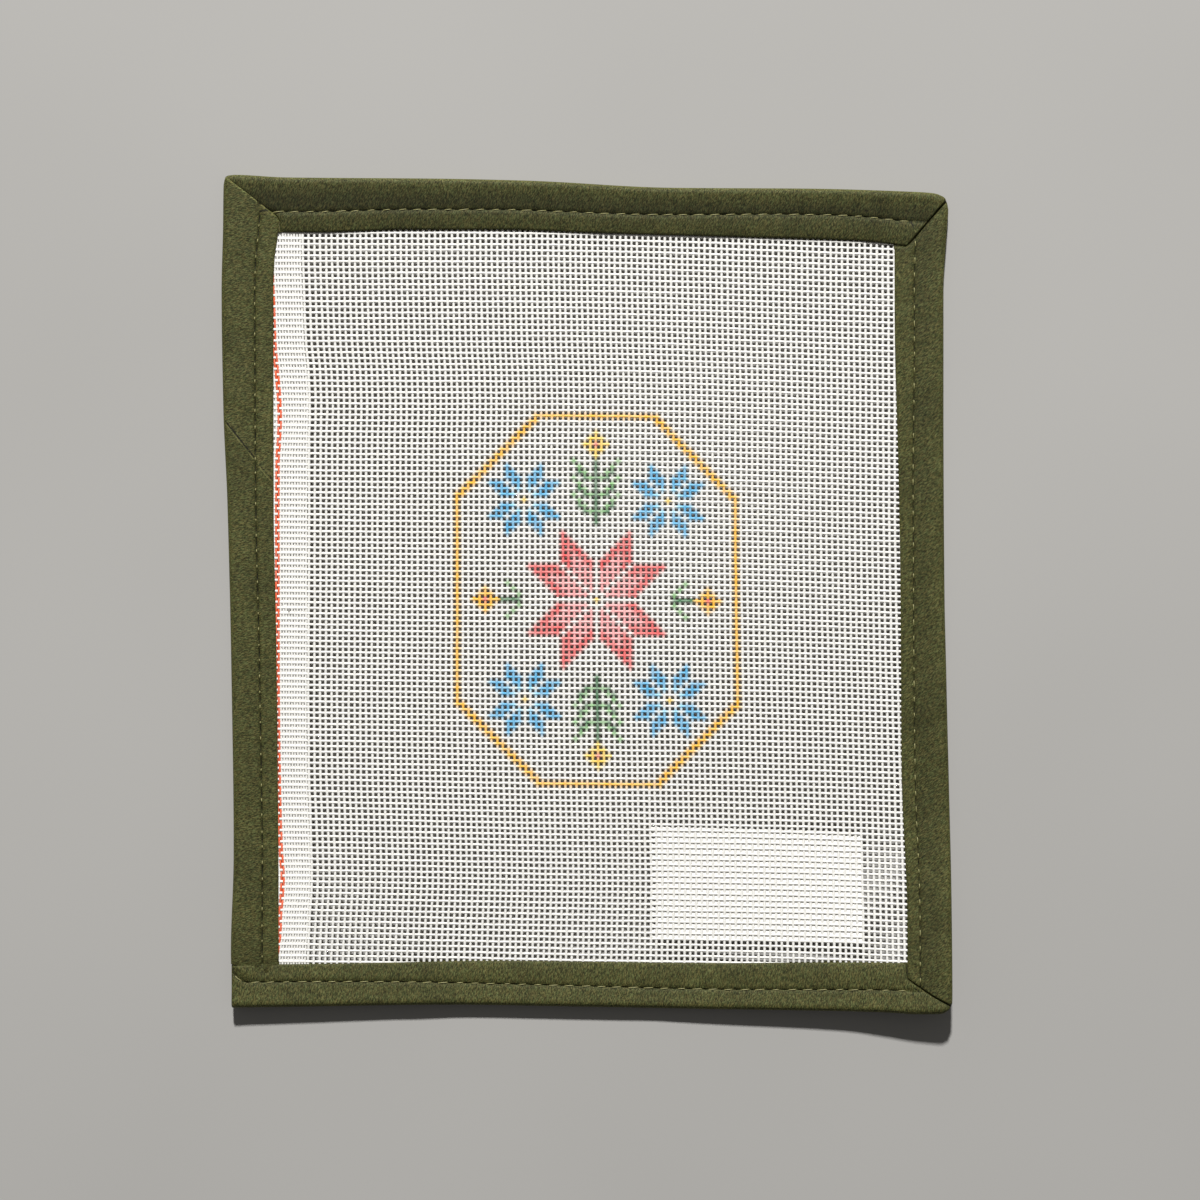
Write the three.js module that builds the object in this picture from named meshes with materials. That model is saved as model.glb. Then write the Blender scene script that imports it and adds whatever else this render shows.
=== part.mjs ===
// Needlepoint canvas panel: a sheet of stiff woven canvas lying face up, its raw edges
// wrapped on all four sides in a sewn tape that is folded double, with one corner curling up.
// Millimetres, +Z up, +X to the right and +Y to the top of the panel as it is looked at from
// above. The origin is on the surface that it lies on, under the middle of its outline.

import * as THREE from 'three';
import * as BufferGeometryUtils from 'three/addons/utils/BufferGeometryUtils.js';

// Thicknesses, from the surface up: back leg of the tape, canvas, front leg of the tape.
const backLeg = 0.9;
const gap = 0.3;
const canvasThickness = 1.0;
const canvasUnder = backLeg + gap;
const canvasOver = canvasUnder + canvasThickness;
const frontUnder = canvasOver + gap;
const crownTop = 3.7;
const valleyTop = 3.3;
const hemTop = 3.5;

// The canvas stops short of the tape's outer fold, as a share of the tape's width.
const canvasEdge = 0.14;

// Half the clearance that two runs of tape keep along a mitre, measured along each run.
const seamClearance = 0.35;

// How finely the cloth is divided, and how far a run's divisions crowd towards its mitres.
const stationsPerRun = 26;
const crowding = 0.8;
const canvasColumns = 22;
const canvasRows = 26;

// Every run lies within this distance of the middle.
const halfReach = 110;

// Mitre lines at the corners, each from the outer corner to the inner one.
const topLeftSeam = [
  { x: -90.2, y: 104.9 },
  { x: -80.6, y: 96.2 },
  { x: -76.8, y: 93.3 },
  { x: -77.1, y: 90.6 },
];
const topRightSeam = [
  { x: 90.3, y: 98.8 },
  { x: 82.5, y: 89.4 },
  { x: 79.8, y: 86.8 },
  { x: 77.2, y: 87.0 },
];
const bottomRightSeam = [
  { x: 90.9, y: -102.5 },
  { x: 82.8, y: -97.9 },
  { x: 80.1, y: -95.9 },
  { x: 80.1, y: -92.1 },
];
const bottomLeftEnd = -88.5;
const leftRunEnd = -92.2;

// The four runs of tape. Each edge is a short table: at is the place along the run, and
// across is where the edge lies. stitching gives the sewn valley as a share of the width,
// and knee is the share at which the run's mitre turns.
const runs = {
  left: {
    along: 'y',
    knee: 0.8,
    outer: [
      { at: -104, across: -88.5 },
      { at: -89, across: -88.8 },
      { at: -66, across: -88.2 },
      { at: -22, across: -88.75 },
      { at: 23, across: -89.8 },
      { at: 46, across: -90.8 },
      { at: 76, across: -91.25 },
      { at: 91, across: -90.7 },
      { at: 105, across: -90.2 },
    ],
    inner: [
      { at: -92, across: -76.8 },
      { at: -60, across: -77.0 },
      { at: -14, across: -77.5 },
      { at: 23, across: -78.2 },
      { at: 76, across: -78.25 },
      { at: 84, across: -77.9 },
      { at: 93.3, across: -76.8 },
    ],
    stitching: [
      { at: -92, across: 0.66 },
      { at: -27, across: 0.63 },
      { at: 20, across: 0.62 },
      { at: 48, across: 0.64 },
      { at: 95, across: 0.65 },
    ],
    start: () => leftRunEnd,
    end: (x) => valueOn(pointsAlong('x', topLeftSeam.slice(0, 3)), x) - seamClearance,
  },
  top: {
    along: 'x',
    knee: 0.8,
    outer: [
      { at: -90.2, across: 104.87 },
      { at: -75, across: 104.2 },
      { at: -38, across: 103.9 },
      { at: -15, across: 103.4 },
      { at: 22, across: 101.6 },
      { at: 55, across: 101.4 },
      { at: 82, across: 100.6 },
      { at: 87.5, across: 100.2 },
      { at: 89.6, across: 99.4 },
      { at: 90.3, across: 98.8 },
    ],
    inner: [
      { at: -77, across: 90.6 },
      { at: -68, across: 90.4 },
      { at: -45, across: 91.1 },
      { at: -23, across: 91.1 },
      { at: 7, across: 90.1 },
      { at: 52, across: 88.9 },
      { at: 67, across: 88.4 },
      { at: 79.8, across: 86.8 },
    ],
    stitching: [
      { at: -82, across: 0.64 },
      { at: -42, across: 0.615 },
      { at: 3, across: 0.6 },
      { at: 61, across: 0.525 },
      { at: 81, across: 0.56 },
    ],
    start: (y) => valueOn(pointsAlong('y', topLeftSeam), y) + seamClearance,
    end: (y) => valueOn(pointsAlong('y', topRightSeam.slice(0, 3)), y) - seamClearance,
  },
  right: {
    along: 'y',
    knee: 0.8,
    outer: [
      { at: -102.5, across: 90.9 },
      { at: -99, across: 91.2 },
      { at: -75, across: 91.25 },
      { at: -22, across: 90.25 },
      { at: 1, across: 89.75 },
      { at: 46, across: 89.5 },
      { at: 76, across: 89.5 },
      { at: 91, across: 90.4 },
      { at: 96, across: 90.6 },
      { at: 98.8, across: 90.3 },
    ],
    inner: [
      { at: -95.9, across: 80.3 },
      { at: -80, across: 80.2 },
      { at: -44, across: 79.0 },
      { at: 1, across: 78.7 },
      { at: 31, across: 78.2 },
      { at: 68, across: 77.25 },
      { at: 87, across: 77.2 },
    ],
    stitching: [
      { at: -97, across: 0.72 },
      { at: -28, across: 0.72 },
      { at: 26, across: 0.69 },
      { at: 63, across: 0.605 },
      { at: 87, across: 0.6 },
    ],
    start: (x) => valueOn(pointsAlong('x', bottomRightSeam.slice(0, 3)), x) + seamClearance,
    end: (x) => valueOn(pointsAlong('x', topRightSeam), x) - seamClearance,
  },
  bottom: {
    along: 'x',
    knee: 0.7,
    outer: [
      { at: -88.5, across: -103.5 },
      { at: -75, across: -103.35 },
      { at: -34, across: -102.9 },
      { at: -4, across: -103.35 },
      { at: 30, across: -103.9 },
      { at: 75, across: -104.5 },
      { at: 82.3, across: -104.87 },
      { at: 87.5, across: -104.6 },
      { at: 90, across: -103.7 },
      { at: 90.9, across: -102.5 },
    ],
    inner: [
      { at: -88.5, across: -92.6 },
      { at: -70, across: -92.6 },
      { at: -22, across: -91.9 },
      { at: 30, across: -92.4 },
      { at: 65, across: -92.1 },
      { at: 80.2, across: -92.1 },
    ],
    stitching: [
      { at: -86, across: 0.59 },
      { at: -71, across: 0.6 },
      { at: -22, across: 0.49 },
      { at: 42, across: 0.435 },
      { at: 82, across: 0.46 },
    ],
    start: () => bottomLeftEnd,
    end: (y) => valueOn(pointsAlong('y', bottomRightSeam), y) - seamClearance,
  },
};

// How far the bottom edge stands off the surface, and the stretch over which that fades out.
const bottomEdgeLift = [
  { at: -88.5, across: 1.1 },
  { at: -70, across: 0.8 },
  { at: -45, across: 0.3 },
  { at: -28, across: 0 },
  { at: 8, across: 0 },
  { at: 35, across: 0.6 },
  { at: 62, across: 1.5 },
  { at: 78, across: 2.9 },
  { at: 90, across: 4.1 },
];
const liftStartsAt = -48;
const liftFullAt = -102;

const mix = THREE.MathUtils.lerp;

// A mitre's points as rows of a table, sorted by the chosen coordinate.
function pointsAlong(coordinate, points) {
  const other = coordinate === 'x' ? 'y' : 'x';
  const rows = points.map((point) => ({ at: point[coordinate], across: point[other] }));
  return rows.sort((a, b) => a.at - b.at);
}

// Straight lines between a table's rows, level past its ends.
function valueOn(rows, at) {
  const next = rows.findIndex((row) => row.at > at);
  if (next === 0) return rows[0].across;
  if (next < 0) return rows[rows.length - 1].across;
  const a = rows[next - 1];
  const b = rows[next];
  return mix(a.across, b.across, (at - a.at) / (b.at - a.at));
}

// The slope at one row, level where the table turns so that the curve never overshoots.
function slopeAt(rows, index) {
  const step = (n) => (rows[n + 1].across - rows[n].across) / (rows[n + 1].at - rows[n].at);
  const before = step(Math.max(index - 1, 0));
  const after = step(Math.min(index, rows.length - 2));
  return before * after > 0 ? (2 * before * after) / (before + after) : 0;
}

// A smooth curve through a table's rows, level past its ends.
function smoothOn(rows, at) {
  const next = rows.findIndex((row) => row.at > at);
  if (next <= 0) return valueOn(rows, at);
  const a = rows[next - 1];
  const b = rows[next];
  const length = b.at - a.at;
  const t = (at - a.at) / length;
  const bendA = slopeAt(rows, next - 1) * length * t * (1 - t) ** 2;
  const bendB = slopeAt(rows, next) * length * t ** 2 * (1 - t);
  return mix(a.across, b.across, t * t * (3 - 2 * t)) + bendA - bendB;
}

// Height of the cloth's underside over the surface that it lies on.
function liftAt(x, y) {
  const fade = 1 - THREE.MathUtils.smoothstep(y, liftFullAt, liftStartsAt);
  return smoothOn(bottomEdgeLift, x) * fade;
}

// A point in plan at a share of a run's width, 0 on the outer fold and 1 on the inner hem.
function acrossRun(run, share, at) {
  const across = mix(smoothOn(run.outer, at), smoothOn(run.inner, at), share);
  return run.along === 'x' ? { x: at, y: across } : { x: across, y: at };
}

// Where a line at one share of the width meets the run's mitre, found by halving.
function mitreAt(run, end, share) {
  let low = -halfReach;
  let high = halfReach;
  while (high - low > 1e-4) {
    const at = (low + high) / 2;
    const point = acrossRun(run, share, at);
    if (at < end(run.along === 'x' ? point.y : point.x)) low = at;
    else high = at;
  }
  return low;
}

// The tape's section, from the back hem round the outer fold to the front hem. Each row is
// a pair: share and z on the outside, and under and zUnder on the face next to the canvas.
function tapeSection(knee, valley) {
  const innerFold = 0.085;
  const innerShoulder = 0.1;
  const innerFlat = 0.13;
  return [
    { share: 1, z: 0, under: 1, zUnder: backLeg },
    { share: knee, z: 0, under: knee, zUnder: backLeg },
    { share: 0.06, z: 0, under: innerFlat, zUnder: backLeg },
    { share: 0.012, z: 0.5, under: innerShoulder, zUnder: backLeg + 0.2 },
    { share: 0, z: 1.8, under: innerFold, zUnder: 1.7 },
    { share: 0.012, z: 2.9, under: innerShoulder, zUnder: frontUnder - 0.2 },
    { share: 0.07, z: 3.45, under: innerFlat, zUnder: frontUnder },
    { share: 0.45 * valley, z: crownTop, under: 0.45 * valley, zUnder: frontUnder },
    { share: 0.8 * valley, z: crownTop - 0.1, under: 0.8 * valley, zUnder: frontUnder },
    { share: valley, z: valleyTop, under: valley, zUnder: frontUnder },
    { share: knee, z: hemTop, under: knee, zUnder: frontUnder },
    { share: 0.96, z: hemTop - 0.05, under: 0.96, zUnder: frontUnder },
    { share: 1, z: hemTop - 0.35, under: 1, zUnder: frontUnder },
  ];
}

// One point of a run: station 0 to 1 along it, closer together near the mitres.
function runPoint(run, station, share, z) {
  const eased = mix(station, 0.5 - 0.5 * Math.cos(Math.PI * station), crowding);
  const at = mix(mitreAt(run, run.start, share), mitreAt(run, run.end, share), eased);
  const plan = acrossRun(run, share, at);
  return new THREE.Vector3(plan.x, plan.y, z + liftAt(plan.x, plan.y));
}

// A closed mesh from shared corners and the polygons between them, fanned into triangles.
function closedMesh(points, polygons) {
  const geometry = new THREE.BufferGeometry();
  const triangles = [];
  for (const corners of polygons) {
    for (let i = 1; i + 1 < corners.length; i += 1) {
      triangles.push(corners[0], corners[i], corners[i + 1]);
    }
  }
  geometry.setFromPoints(points);
  geometry.setIndex(triangles);
  const merged = BufferGeometryUtils.mergeVertices(geometry, 1e-3);
  merged.computeVertexNormals();
  return merged;
}

// The signed volume tells which way round the polygons run.
function facingOut(points, polygons) {
  let volume = 0;
  for (const corners of polygons) {
    for (let i = 1; i + 1 < corners.length; i += 1) {
      const [a, b, c] = [corners[0], corners[i], corners[i + 1]].map((n) => points[n]);
      volume += a.dot(new THREE.Vector3().crossVectors(b, c));
    }
  }
  return volume > 0 ? polygons : polygons.map((corners) => [...corners].reverse());
}

// A run of tape: the section's outside and inside skins carried from mitre to mitre.
function tapeGeometry(run) {
  const points = [];
  let ring = 0;
  for (let s = 0; s <= stationsPerRun; s += 1) {
    const station = s / stationsPerRun;
    const middle = mix(mitreAt(run, run.start, 0.5), mitreAt(run, run.end, 0.5), station);
    const section = tapeSection(run.knee, smoothOn(run.stitching, middle));
    const outside = section.map((row) => runPoint(run, station, row.share, row.z));
    const inside = section.map((row) => runPoint(run, station, row.under, row.zUnder));
    points.push(...outside, ...inside.reverse());
    ring = 2 * section.length;
  }
  const polygons = [];
  for (let s = 0; s < stationsPerRun; s += 1) {
    for (let k = 0; k < ring; k += 1) {
      const next = (k + 1) % ring;
      polygons.push([s * ring + k, s * ring + next, (s + 1) * ring + next, (s + 1) * ring + k]);
    }
  }
  const last = stationsPerRun * ring;
  for (let k = 0; k + 1 < ring / 2; k += 1) {
    const far = ring - 1 - k;
    polygons.push([k, far, far - 1, k + 1]);
    polygons.push([last + k, last + k + 1, last + far - 1, last + far]);
  }
  return closedMesh(points, facingOut(points, polygons));
}

// A point of the canvas, u from left to right and v from bottom to top: a few steps settle
// it between the four edges.
function canvasPoint(u, v, z) {
  let x = 0;
  let y = 0;
  for (let step = 0; step < 6; step += 1) {
    const left = acrossRun(runs.left, canvasEdge, y).x;
    const right = acrossRun(runs.right, canvasEdge, y).x;
    const bottom = acrossRun(runs.bottom, canvasEdge, x).y;
    const top = acrossRun(runs.top, canvasEdge, x).y;
    x = mix(left, right, u);
    y = mix(bottom, top, v);
  }
  return new THREE.Vector3(x, y, z + liftAt(x, y));
}

// The canvas: one thin sheet that follows the outline inside the tape.
function canvasGeometry() {
  const points = [];
  for (const z of [canvasUnder, canvasOver]) {
    for (let row = 0; row <= canvasRows; row += 1) {
      for (let column = 0; column <= canvasColumns; column += 1) {
        points.push(canvasPoint(column / canvasColumns, row / canvasRows, z));
      }
    }
  }
  const width = canvasColumns + 1;
  const sheet = width * (canvasRows + 1);
  const polygons = [];
  for (let row = 0; row < canvasRows; row += 1) {
    for (let column = 0; column < canvasColumns; column += 1) {
      const n = row * width + column;
      polygons.push([n, n + width, n + width + 1, n + 1]);
      polygons.push([n + sheet, n + sheet + 1, n + sheet + width + 1, n + sheet + width]);
    }
  }
  const side = (a, b) => polygons.push([a, b, b + sheet, a + sheet]);
  for (let column = 0; column < canvasColumns; column += 1) {
    side(column, column + 1);
    side(canvasRows * width + column + 1, canvasRows * width + column);
  }
  for (let row = 0; row < canvasRows; row += 1) {
    side((row + 1) * width, row * width);
    side(row * width + canvasColumns, (row + 1) * width + canvasColumns);
  }
  return closedMesh(points, facingOut(points, polygons));
}

function canvasMaterial() {
  return new THREE.MeshStandardMaterial({ color: '#ece9e2', roughness: 0.85, metalness: 0 });
}

function tapeMaterial() {
  return new THREE.MeshStandardMaterial({ color: '#545632', roughness: 0.7, metalness: 0 });
}

function named(name, geometry, material) {
  const mesh = new THREE.Mesh(geometry, material);
  mesh.name = name;
  return mesh;
}

const panel = new THREE.Group();
panel.add(named('canvas', canvasGeometry(), canvasMaterial()));
for (const [side, run] of Object.entries(runs)) {
  panel.add(named(`binding_${side}`, tapeGeometry(run), tapeMaterial()));
}

export default panel;
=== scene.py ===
import math

import bpy
import numpy as np
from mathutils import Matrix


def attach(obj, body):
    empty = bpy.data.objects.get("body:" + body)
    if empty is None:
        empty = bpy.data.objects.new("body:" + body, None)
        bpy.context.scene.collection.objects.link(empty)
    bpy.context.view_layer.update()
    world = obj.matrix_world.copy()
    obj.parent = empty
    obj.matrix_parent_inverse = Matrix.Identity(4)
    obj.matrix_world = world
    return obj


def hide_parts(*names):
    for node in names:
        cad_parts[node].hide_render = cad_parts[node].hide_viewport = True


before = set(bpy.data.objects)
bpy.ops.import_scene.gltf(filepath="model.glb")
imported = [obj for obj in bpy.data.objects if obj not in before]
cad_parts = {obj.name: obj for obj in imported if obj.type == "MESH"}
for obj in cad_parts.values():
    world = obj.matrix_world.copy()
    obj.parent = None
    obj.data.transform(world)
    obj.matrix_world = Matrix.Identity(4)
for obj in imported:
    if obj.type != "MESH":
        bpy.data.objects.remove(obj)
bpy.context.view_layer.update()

# Needlepoint canvas panel: stiff open canvas woven thread by thread, a painted sampler motif
# on its crossings, and a double-fold tape stitched round its edges. Lengths in this script are
# millimetres, in the frame's axes, and are multiplied by MM where Blender takes metres.
MM = 0.001
DRAWS = np.random.default_rng(18)


# Curves through short tables

class Profile:
    """A smooth curve through (at, value) rows, level past its ends, that never overshoots."""

    def __init__(self, rows):
        self.at, self.value = np.array(rows, float).T
        step = np.diff(self.value) / np.diff(self.at)
        before = np.r_[step[0], step]
        after = np.r_[step, step[-1]]
        agree = before * after > 0
        total = np.where(agree, before + after, 1.0)
        self.slope = np.where(agree, 2 * before * after / total, 0.0)

    def __call__(self, at):
        at = np.clip(at, self.at[0], self.at[-1])
        n = np.clip(np.searchsorted(self.at, at, "right") - 1, 0, len(self.at) - 2)
        length = self.at[n + 1] - self.at[n]
        t = (at - self.at[n]) / length
        bend_a = self.slope[n] * length * t * (1 - t) ** 2
        bend_b = self.slope[n + 1] * length * t ** 2 * (1 - t)
        return mix(self.value[n], self.value[n + 1], t * t * (3 - 2 * t)) + bend_a - bend_b


def mix(a, b, t):
    return a + (b - a) * t


def smoothstep(low, high, x):
    t = np.clip((x - low) / (high - low), 0.0, 1.0)
    return t * t * (3 - 2 * t)


def waves(at, length, phase):
    """Slow unevenness between about -1 and 1 along one coordinate."""
    total = 0.0
    for n in range(4):
        turn = 2 * np.pi * at * (1 + 0.73 * n) / length
        total = total + np.sin(turn + phase * (n + 1.7)) / (1 + n)
    return total / 1.6


def srgb(red, green, blue):
    """A colour as a screen shows it, 0 to 255, as linear numbers."""
    def linear(part):
        part = part / 255
        return part / 12.92 if part <= 0.04045 else ((part + 0.055) / 1.055) ** 2.4

    return (linear(red), linear(green), linear(blue), 1.0)


# The panel's layers, as heights from the surface up, and the tape's own measures

BACK_SKIN = 0.06
BACK_INNER = 0.86
FOLD_MIDDLE = 1.5
CANVAS_MIDDLE = 1.75
FRONT_INNER = 2.02
STITCH_BED = 2.2
INNER_LEG = 3.0
CROWN = 3.68

TAPE_THICKNESS = 0.24
FOLD_RADIUS = 1.6
FOLD_SQUARENESS = 2.6
STITCH_PITCH = 3.9

# How far the bottom edge stands off the surface, and the stretch over which that fades out.
BOTTOM_EDGE_LIFT = Profile([
    (-88.5, 1.1), (-70, 0.8), (-45, 0.3), (-28, 0.0), (8, 0.0), (35, 0.6), (62, 1.5), (78, 2.9),
    (90, 4.1),
])
LIFT_STARTS_AT = -48
LIFT_FULL_AT = -102


def lift_at(x, y):
    return BOTTOM_EDGE_LIFT(x) * (1 - smoothstep(LIFT_FULL_AT, LIFT_STARTS_AT, y))


# The four runs of tape

class Mitre:
    """One end of a run. Its line is (place across, place along) rows. A run that goes on under its
    neighbour has a tuck, how far it goes, no further than its bound; the run on top has none. The dips
    are the depth of the slit between the two, at the outer and inner edge. The tone is painted light at
    the mitre: the painted highlight that the upper run's edge gets, and the painted shade that the
    lower run gets in the gap at the line."""

    def __init__(self, line, dips, tone, tuck=0.0, bound=None):
        self.line = np.array(sorted(line), float).T
        self.dips = dips
        self.tone = tone
        self.tuck = tuck
        self.bound = bound


class Sewing:
    """A run's row of stitches. Its line is (place along, share of the width in from the outer fold)
    rows. Each thread shows over a middle share of its stitch, turned by a slant. The painted shade
    levels are how dark the slit is painted along the thread and at the needle holes, out to its half
    width. The holes are the share of each stitch painted as dark as they are, and are kept as the level
    that the run's needle wave has where they begin."""

    def __init__(self, line, shows, slant, painted_shade_levels, holes, half_width, last=200.0):
        self.line = Profile(line)
        self.shows = shows
        self.slant = slant
        self.painted_shade_levels = painted_shade_levels
        self.hole_level = 0.5 + 0.5 * math.cos(math.pi * holes)
        self.half_width = half_width
        self.last = last

    def here(self, at):
        """1 where the row is sewn, 0 after its last place."""
        return smoothstep(self.last + 0.4, self.last - 0.2, at)


class Run:
    """One side's tape. Its edges are (place along, place across) rows. The tones are painted shade on
    its cloth for how the light falls on this side, against 1 at the outer fold: beside the stitching on
    the pad and on the leg inside it. A raised run's leg lies over its neighbour's pad before that
    place. The join is where a slanting seam between two lengths of tape meets the outer fold."""

    MIDDLE = 0.6

    def __init__(self, along, outer, inner, sewing, start, end, phase, tones,
                 join=None, raised=None):
        self.along = along
        self.outer = Profile(outer)
        self.inner = Profile(inner)
        self.sewing = sewing
        self.start = start
        self.end = end
        self.phase = phase
        self.tones = tones
        self.join = join
        self.raised = raised
        self.length = self.length_at(self.MIDDLE)
        self.stitches = int(round(self.length / STITCH_PITCH))

    def width(self, at):
        return np.abs(self.outer(at) - self.inner(at))

    def seam(self, at):
        """How deep in from the outer fold the stitching runs."""
        return self.sewing.line(at) * self.width(at)

    def across(self, share, at):
        return mix(self.outer(at), self.inner(at), share)

    def plan(self, share, at):
        across = self.across(share, at)
        return (at, across) if self.along == "x" else (across, at)

    def meets(self, share, mitre):
        """Where a line at this share of the width meets the mitre, found by halving."""
        low = np.full(np.shape(share), -110.0)
        high = np.full(np.shape(share), 110.0)
        for _ in range(30):
            middle = (low + high) / 2
            before = middle < np.interp(self.across(share, middle), *mitre.line)
            low = np.where(before, middle, low)
            high = np.where(before, high, middle)
        return low

    def between(self, share, part):
        """The place a part of the way from the start's mitre to the end's."""
        return mix(self.meets(share, self.start), self.meets(share, self.end), part)

    def length_at(self, share):
        return float(self.meets(share, self.end) - self.meets(share, self.start))

    def needle(self, progress):
        """A wave along the run: 1 at each needle hole and 0 halfway between two."""
        return 0.5 + 0.5 * np.cos(2 * np.pi * self.stitches * progress)

    def past_ends(self, at, start_at, end_at):
        """Both mitres, each with how far places lie past its line."""
        return (start_at - at, self.start), (at - end_at, self.end)


# Each run's tones, its mitres' tones and its sewing's shade levels are painted light and shade in the
# cloth's colour.
RUNS = {
    "left": Run(
        "y",
        outer=[(-104, -88.5), (-89, -88.8), (-66, -88.2), (-22, -88.75), (23, -89.8), (46, -90.8),
               (76, -91.25), (91, -90.9), (102, -90.75), (103.8, -90.4), (104.8, -89.7)],
        inner=[(-92, -76.8), (-60, -77.0), (-14, -77.5), (23, -78.2), (76, -78.25), (84, -77.95),
               (90, -77.1), (93.6, -76.75)],
        sewing=Sewing([(-92, 0.66), (-27, 0.63), (20, 0.62), (48, 0.64), (95, 0.65)],
                      shows=0.3, slant=0.0, painted_shade_levels=(0.2, 0.96), holes=0.5, half_width=0.17,
                      last=95.4),
        start=Mitre([(-88.5, -92.6), (-76.8, -92.6)], dips=(0.08, 0.05), tone=0.0, tuck=2.4),
        end=Mitre([(-90.3, 104.4), (-81, 97.3), (-79, 95.7), (-77.5, 94.9), (-76.75, 93.6)],
                  dips=(0.05, 0.5), tone=0.9),
        phase=0.4, tones=(0.95, 1.0), join=43.5,
    ),
    "top": Run(
        "x",
        outer=[(-90.3, 104.3), (-89.5, 104.7), (-88, 104.85), (-75, 104.2), (-38, 103.9),
               (-15, 103.4), (22, 101.6), (55, 101.4), (82, 100.6), (86.5, 100.3), (88.6, 99.8),
               (89.8, 99.0), (90.4, 98.0)],
        inner=[(-77, 90.5), (-68, 90.4), (-45, 91.1), (-23, 91.1), (7, 90.1), (52, 88.9), (67, 88.4),
               (80.4, 86.9)],
        sewing=Sewing([(-82, 0.64), (-42, 0.615), (3, 0.6), (61, 0.525), (84, 0.56)],
                      shows=0.72, slant=-0.03, painted_shade_levels=(0.25, 0.85), holes=0.3, half_width=0.12,
                      last=81.2),
        start=Mitre([(104.4, -90.3), (97.3, -81), (94.9, -78.0), (93.6, -76.75), (90.5, -76.9)],
                    dips=(0.12, 0.7), tone=0.25, tuck=2.2, bound=-89.2),
        end=Mitre([(98.3, 90.2), (89.4, 82.5), (86.9, 80.4)], dips=(0.8, 0.9), tone=0.1),
        phase=1.9, tones=(0.5, 0.8),
    ),
    "right": Run(
        "y",
        outer=[(-103, 90.9), (-101.5, 91.2), (-99, 91.25), (-75, 91.25), (-22, 90.25), (1, 89.75),
               (46, 89.5), (76, 89.5), (91, 90.4), (96, 90.7), (98.3, 90.3)],
        inner=[(-95.9, 80.1), (-80, 80.2), (-44, 79.0), (1, 78.7), (31, 78.2), (68, 77.25),
               (87, 77.2)],
        sewing=Sewing([(-97, 0.72), (-28, 0.72), (26, 0.69), (63, 0.605), (87, 0.6)],
                      shows=0.5, slant=0.01, painted_shade_levels=(0.3, 0.9), holes=0.5, half_width=0.13),
        start=Mitre([(80.0, -95.9), (82.8, -97.9), (86.6, -100.4), (91.0, -102.6)],
                    dips=(0.6, 0.5), tone=0.1),
        end=Mitre([(90.3, 98.3), (82.5, 89.4), (80.4, 86.9), (77.2, 87.1)],
                  dips=(0.8, 0.9), tone=0.9, tuck=2.2, bound=97.6),
        phase=3.1, tones=(0.8, 1.0),
    ),
    "bottom": Run(
        "x",
        outer=[(-88.5, -103.5), (-75, -103.35), (-34, -102.9), (-4, -103.35), (30, -103.9),
               (75, -104.5), (82.3, -104.87), (88.3, -104.7), (90.1, -103.9), (91.0, -102.6)],
        inner=[(-88.5, -92.7), (-70, -92.6), (-22, -91.9), (30, -92.4), (65, -92.1), (80.2, -92.1)],
        sewing=Sewing([(-88.5, 0.84), (-87.9, 0.78), (-87, 0.69), (-85.9, 0.62), (-85, 0.59),
                       (-71, 0.59), (-22, 0.49), (42, 0.435), (82, 0.46)],
                      shows=0.72, slant=0.03, painted_shade_levels=(0.1, 0.78), holes=0.24, half_width=0.12,
                      last=80.2),
        start=Mitre([(-103.5, -88.5), (-92.7, -88.5)], dips=(0.8, 0.8), tone=0.1),
        end=Mitre([(-102.6, 91.0), (-100.4, 86.6), (-97.9, 82.8), (-95.9, 80.0), (-92.1, 80.0)],
                  dips=(0.7, 0.3), tone=0.8, tuck=2.2, bound=89.9),
        phase=4.6, tones=(0.93, 1.0), raised=-81.5,
    ),
}

# The front skin: slow unevenness, the pad's fall to the stitching, the pinch on both sides of
# it, and the leg's inner edge.
CROWN_UNEVEN = 0.07
LEG_UNEVEN = 0.04
PAD_FALL = 0.82
FALL_STARTS = 1.2
PAD_PINCH = 0.12
LEG_PINCH = 0.16
EDGE_PRESSED = 0.4
EDGE_ROUNDED = 0.45
RAISED_BY = 0.8

# Puckers at the needle holes, fine wrinkles, and the ridge and step of the slanting join,
# which runs back by its slope for each millimetre in.
PUCKER = 0.11
WRINKLE = 0.04
WRINKLE_LENGTH = 7.3
JOIN_SLOPE = 1.28
JOIN_SQUARE_ON = 0.615
JOIN_RIDGE = 0.13
JOIN_STEP = 0.07


def pad_height(run, at, depth, seam):
    """The soft pad between the outer fold and the stitching."""
    crown = CROWN + CROWN_UNEVEN * waves(at, 41, run.phase)
    inwards = 1 - np.clip(depth / FOLD_RADIUS, 0, 1)
    round_edge = (1 - inwards ** FOLD_SQUARENESS) ** (1 / FOLD_SQUARENESS)
    fall = np.clip((depth - FALL_STARTS) / (seam - FALL_STARTS), 0, 1)
    pad = mix(FOLD_MIDDLE, crown, round_edge) - PAD_FALL * fall
    return pad - PAD_PINCH * smoothstep(0.8, 0.2, seam - depth)


def leg_height(run, at, depth, seam, width):
    """The flat leg between the stitching and the tape's inner edge."""
    leg = INNER_LEG + LEG_UNEVEN * waves(at, 23, run.phase + 2)
    leg = leg - LEG_PINCH * smoothstep(0.9, 0.2, depth - seam)
    if run.raised is not None:
        over = smoothstep(run.raised, run.raised - 3.5, at) * smoothstep(0.2, 2.6, depth - seam)
        leg = leg + RAISED_BY * over
    leg = leg - EDGE_ROUNDED * smoothstep(0.5, 0.0, width - depth) ** 2
    return leg - EDGE_PRESSED * smoothstep(3.4, 0.3, width - depth)


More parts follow.
